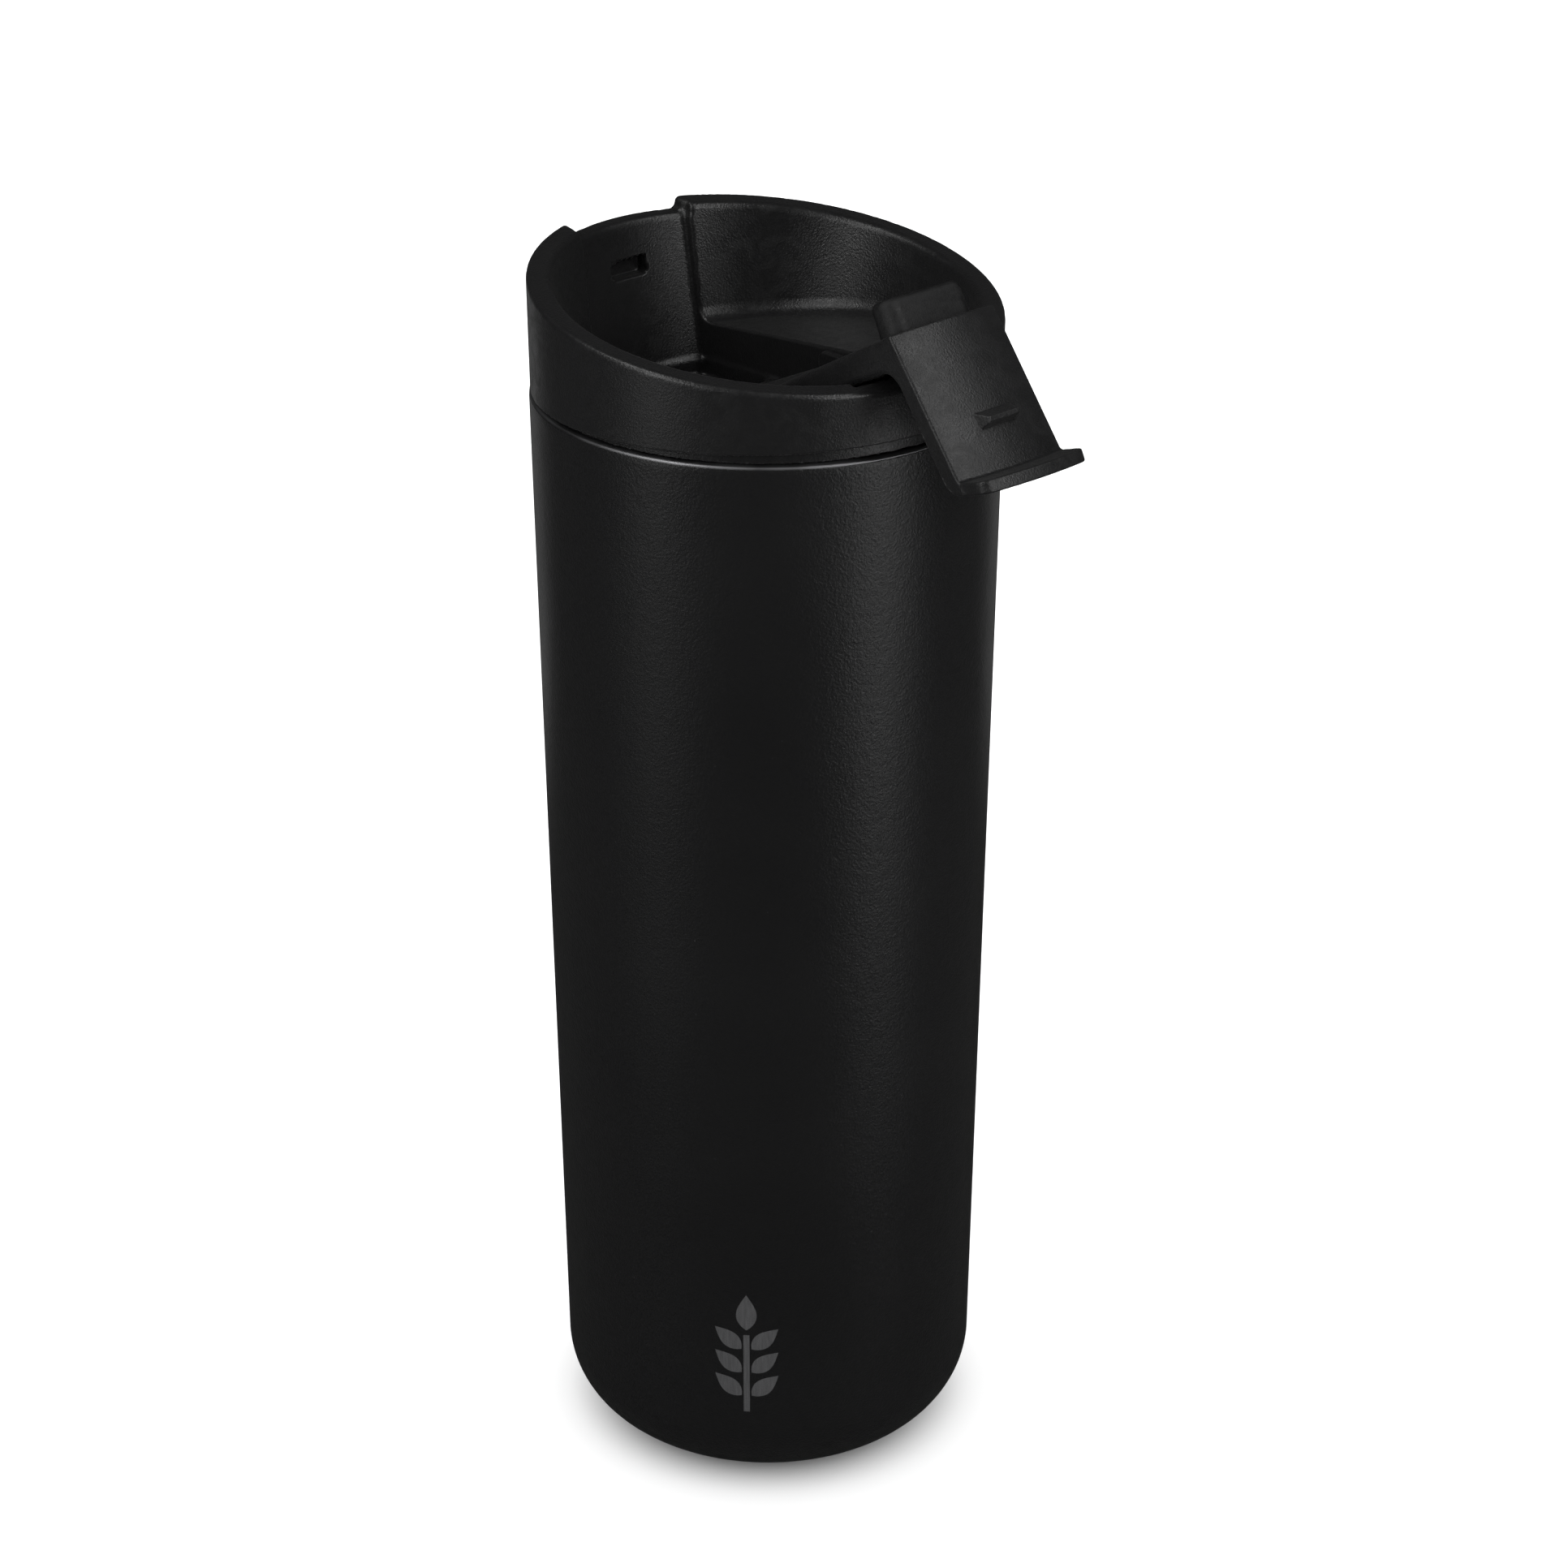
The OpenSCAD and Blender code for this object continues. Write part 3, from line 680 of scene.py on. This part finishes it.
def seal_glass():
    look = Look("seal_glass")
    pits = look.cells(0.5)
    colour = look.tint(look.noise(1.5), (0.09, 0.13, 0.11), (0.15, 0.2, 0.17))
    return look.finish(colour, look.ramp(pits, 0, 0.6, 0.15, 0.3), look.bump(pits, 0.03))


def getter_alloy():
    look = Look("getter_alloy", metallic=0.8)
    grain = look.cells(0.22)
    colour = look.tint(grain, (0.07, 0.07, 0.075), (0.16, 0.16, 0.165))
    return look.finish(colour, look.ramp(grain, 0, 0.6, 0.55, 0.8), look.bump(grain, 0.05))


def wear(obj, material):
    obj.data.materials.clear()
    obj.data.materials.append(material)
    return obj


def dress(node, material):
    """Gives a CAD node a material without touching its mesh."""
    obj = frame["nodes"][node]
    for slot in obj.material_slots:
        slot.material = material
    if not obj.material_slots:
        obj.data.materials.append(material)


# ---------------------------------------------------------------- the object
def piece(obj, body, material, slot, *nodes):
    wear(obj, material)
    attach(obj, body)
    if nodes:
        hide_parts(*nodes)
    return obj


coat = powder_coat()
lid_plastic = moulded_plastic("lid_plastic", 0.066, 0.30, 0.4)
cap_plastic = moulded_plastic("cap_plastic", 0.09, 0.38, 0.9)
rubber = silicone()
bright_steel = steel("bright_steel", (0.33, 0.33, 0.34), 0.38)
MARK_AZIMUTH, MARK_Z, MARK_H = math.radians(-47.7), 16.6, 23
LID_CELL, CAP_CELL, PLUG_CELL = ((0.54, 0.26, 0.22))

piece(lathe("coated_shell", shell_profile()), "vessel", coat, "powder_coat", "outer_shell")
mark = wrapped_mark("etched_sprig", MARK_AZIMUTH, MARK_Z, MARK_H)
piece(mark, "vessel", etched_mark(), "bare_steel")

lid_low = (-RIM_R - 1.1, -RIM_R - 1.13, SKIRT_Z - 1.17)
lid_high = (RIM_R + 1, RIM_R + 1, RIM_Z + LID_H + RIM_FALL * RIM_R + 1)
fine_rim = (RIM_Z - 1, RIM_Z + 3)
lid = field_mesh("moulded_lid", lid_field, lid_low, lid_high, LID_CELL, fine=fine_rim)
piece(lid, "lid", lid_plastic, "lid_plastic", "lid_shell")

cap_low = (-LIP_REACH - 1.05, -ARM_HALF - 1.03, HINGE_Z - 6.1)
cap_high = (HINGE_X + KNUCKLE_R + 1, ARM_HALF + 1, RIM_Z + LID_H + LIP_REACH * RIM_FALL + 2)
cap = field_mesh("moulded_cap", cap_field, cap_low, cap_high, CAP_CELL, open_cap)
piece(cap, "cap", cap_plastic, "lid_plastic", "flip_cap")

plug_low = (PLUG_OUT - 2.1, -PLUG_HALF - 1.03, HINGE_Z - ARM_LOW - PLUG_H - 4)
plug_high = (PLUG_IN + 2, PLUG_HALF + 1, HINGE_Z - 1)
plug = field_mesh("silicone_plug", plug_field, plug_low, plug_high, PLUG_CELL, open_cap)
piece(plug, "cap", rubber, "silicone", "drink_plug")

dress("inner_liner", bright_steel)
dress("vacuum_base", bright_steel)
dress("getter_clip", bright_steel)
dress("hinge_pin", steel("pin_steel", (0.6, 0.6, 0.62), 0.15, ring=(1, 0.05, 1)))
dress("vacuum_seal", seal_glass())
dress("getter", getter_alloy())
dress("base_pad", rubber)
dress("lid_gasket", rubber)
dress("lid_base", lid_plastic)


# ---------------------------------------------------------------- stage
CAMERA_AZIMUTH = -41.7
CAMERA_PLACE = (0.4332, -0.3860, 0.3918)
CAMERA_TURN = (64.553, 0, 48.03)
LENS = 90.31
# Softboxes stand in pairs, left and right of the camera. Each pair: degrees round the mug from the
# camera, height and distance in metres, and the powers on the left and the right in watts.
SOFTBOX_PAIRS = {
    "top": (65, 0.6, 0.32, 0.55, 0.55),
    "key": (44, 0.36, 0.42, 0.45, 0.45),
    "fill": (50, 0.17, 0.45, 0.1, 0.2),
    "low": (55, 0.03, 0.45, 0.03, 0.12),
    "back": (150, 0.03, 0.45, 0.02, 0.02),
}


def softbox(name, azimuth, height, distance, size, power, target_z, receivers):
    """A square light at an azimuth about the mug's axis, aimed at the axis."""
    light = bpy.data.lights.new(name, "AREA")
    light.shape = "RECTANGLE"
    light.size, light.size_y = size
    light.energy = power
    obj = bpy.data.objects.new(name, light)
    a = math.radians(azimuth)
    obj.location = (distance * math.cos(a), distance * math.sin(a), height)
    obj.rotation_euler = (Vector((0, 0, target_z)) - obj.location).to_track_quat("-Z", "Y").to_euler()
    bpy.context.scene.collection.objects.link(obj)
    obj.light_linking.receiver_collection = receivers
    return obj


def softboxes():
    """Pairs of lights that reach only the mug, so that the floor stays even."""
    mug_only = bpy.data.collections.new("lit_by_softboxes")
    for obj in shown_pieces():
        mug_only.objects.link(obj)
    for name, (turn, height, distance, *powers) in SOFTBOX_PAIRS.items():
        for side, power in zip((-1, 1), powers):
            azimuth = CAMERA_AZIMUTH + side * turn
            softbox(f"{name}_{side}", azimuth, height, distance, (0.10, 0.2), power, 0.13, mug_only)


def pale_floor(half=6):
    """A white floor with a light of its own."""
    corners = [(-half, -half, 0), (half, -half, 0), (half, half, 0), (-half, half, 0)]
    mesh = bpy.data.meshes.new("floor")
    mesh.from_pydata(corners, [], [(0, 1, 2, 3)])
    mesh.materials.append(Look("pale_floor").finish((0.93, 0.93, 0.93), 1.0, None, 0.0))
    floor = bpy.data.objects.new("floor", mesh)
    bpy.context.scene.collection.objects.link(floor)
    floor.visible_glossy = False

    light = bpy.data.lights.new("floor_light", "SUN")
    light.energy = 1.8
    light.angle = math.radians(120)
    lamp = bpy.data.objects.new("floor_light", light)
    bpy.context.scene.collection.objects.link(lamp)
    floor_only = bpy.data.collections.new("lit_by_floor_light")
    floor_only.objects.link(floor)
    lamp.light_linking.receiver_collection = floor_only


def white_surroundings():
    """An even white world that the mug does not mirror."""
    world = bpy.data.worlds.new("studio")
    bpy.context.scene.world = world
    world.cycles_visibility.glossy = False
    world.use_nodes = True
    back = world.node_tree.nodes["Background"]
    back.inputs["Color"].default_value = (1, 1, 1, 1)
    back.inputs["Strength"].default_value = 1.12


def camera():
    data = bpy.data.cameras.new("camera")
    obj = bpy.data.objects.new("camera", data)
    data.lens = LENS
    data.sensor_width = 36
    data.clip_start, data.clip_end = 0.05, 50
    obj.location = CAMERA_PLACE
    obj.rotation_euler = [math.radians(a) for a in CAMERA_TURN]
    bpy.context.scene.collection.objects.link(obj)
    bpy.context.scene.camera = obj


bpy.context.scene.view_settings.view_transform = "Standard"
softboxes()
pale_floor()
white_surroundings()
camera()
